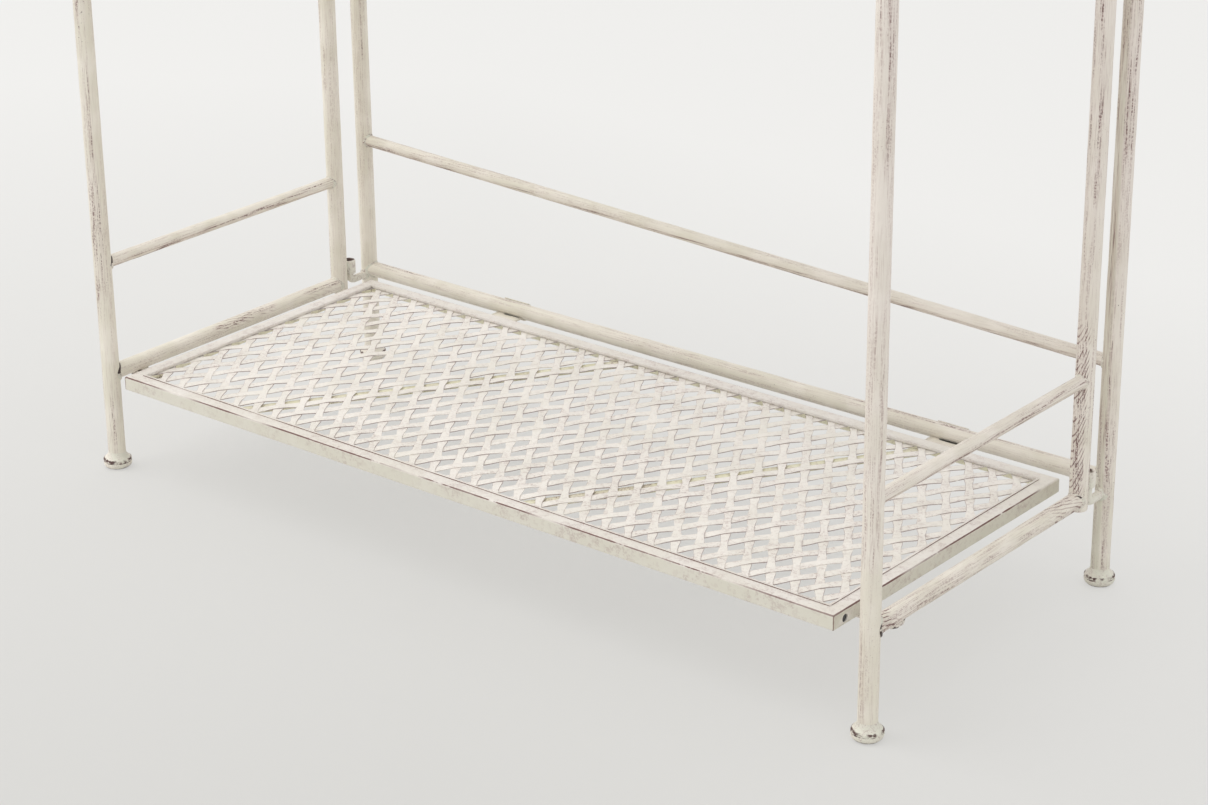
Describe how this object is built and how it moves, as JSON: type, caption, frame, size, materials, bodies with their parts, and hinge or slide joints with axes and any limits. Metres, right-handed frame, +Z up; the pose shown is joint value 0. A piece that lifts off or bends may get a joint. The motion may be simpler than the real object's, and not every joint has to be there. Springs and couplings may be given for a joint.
{
  "type": "folding plant shelf",
  "caption": "Folding painted iron plant stand: tube uprights with rails, hinged side frames and lift-up shelves of woven metal strip in angle-bar frames.",
  "frame": {"origin": "on the floor, in the middle of the four feet", "axes": "+Z up; +X along the shelves to the right as seen from the front; +Y to the back, where the back frame stands"},
  "size_m": [0.6826, 0.2916, 1.0241],
  "materials": {
    "frame_paint": "worn antique cream paint, satin, rubbed to brown along the tubes",
    "shelf_paint": "chalky ivory paint, rubbed to brown along the edges",
    "worn_fitting_paint": "cream paint worn thin over dark iron at the moving fittings"
  },
  "bodies": {
    "back_frame": {"back_post_left": "frame_paint", "back_post_right": "frame_paint", "foot_back_left": "frame_paint", "foot_back_right": "frame_paint", "back_post_caps": "frame_paint", "back_shelf_rail_1": "frame_paint", "back_shelf_rail_2": "frame_paint", "back_shelf_rail_3": "frame_paint", "back_guard_rail_1": "frame_paint", "back_guard_rail_2": "frame_paint", "back_guard_rail_3": "frame_paint", "left_hinge_pins": "worn_fitting_paint", "right_hinge_pins": "worn_fitting_paint"},
    "left_side_frame": {"front_post_left": "frame_paint", "rear_upright_left": "frame_paint", "foot_front_left": "frame_paint", "left_frame_caps": "frame_paint", "left_shelf_rail_1": "frame_paint", "left_shelf_rail_2": "frame_paint", "left_shelf_rail_3": "frame_paint", "left_guard_rail_1": "frame_paint", "left_guard_rail_2": "frame_paint", "left_guard_rail_3": "frame_paint", "left_rest_tabs": "worn_fitting_paint", "left_hinge_sleeves": "worn_fitting_paint"},
    "right_side_frame": {"front_post_right": "frame_paint", "rear_upright_right": "frame_paint", "foot_front_right": "frame_paint", "right_frame_caps": "frame_paint", "right_shelf_rail_1": "frame_paint", "right_shelf_rail_2": "frame_paint", "right_shelf_rail_3": "frame_paint", "right_guard_rail_1": "frame_paint", "right_guard_rail_2": "frame_paint", "right_guard_rail_3": "frame_paint", "right_rest_tabs": "worn_fitting_paint", "right_hinge_sleeves": "worn_fitting_paint"},
    "shelf_1": {"shelf_1_front_bar": "shelf_paint", "shelf_1_rear_bar": "shelf_paint", "shelf_1_left_bar": "shelf_paint", "shelf_1_right_bar": "shelf_paint", "shelf_1_weave": "shelf_paint", "shelf_1_braces": "shelf_paint", "shelf_1_hinge_straps": "shelf_paint"},
    "shelf_2": {"shelf_2_front_bar": "shelf_paint", "shelf_2_rear_bar": "shelf_paint", "shelf_2_left_bar": "shelf_paint", "shelf_2_right_bar": "shelf_paint", "shelf_2_weave": "shelf_paint", "shelf_2_braces": "shelf_paint", "shelf_2_hinge_straps": "shelf_paint"},
    "shelf_3": {"shelf_3_front_bar": "shelf_paint", "shelf_3_rear_bar": "shelf_paint", "shelf_3_left_bar": "shelf_paint", "shelf_3_right_bar": "shelf_paint", "shelf_3_weave": "shelf_paint", "shelf_3_braces": "shelf_paint", "shelf_3_hinge_straps": "shelf_paint"}
  },
  "joints": [
    {"name": "left_side_swing", "type": "hinge", "parent": "back_frame", "child": "left_side_frame", "pos_m": [-0.331, 0.1129, 0.0835], "axis": [0, 0, -1], "range_deg": [-3, 120]},
    {"name": "right_side_swing", "type": "hinge", "parent": "back_frame", "child": "right_side_frame", "pos_m": [0.331, 0.1129, 0.0835], "axis": [0, 0, 1], "range_deg": [-3, 120]},
    {"name": "shelf_1_fold", "type": "hinge", "parent": "back_frame", "child": "shelf_1", "pos_m": [0, 0.1355, 0.076], "axis": [-1, 0, 0], "range_deg": [0, 85]},
    {"name": "shelf_2_fold", "type": "hinge", "parent": "back_frame", "child": "shelf_2", "pos_m": [0, 0.1355, 0.496], "axis": [-1, 0, 0], "range_deg": [0, 85]},
    {"name": "shelf_3_fold", "type": "hinge", "parent": "back_frame", "child": "shelf_3", "pos_m": [0, 0.1355, 0.916], "axis": [-1, 0, 0], "range_deg": [0, 85]}
  ]
}
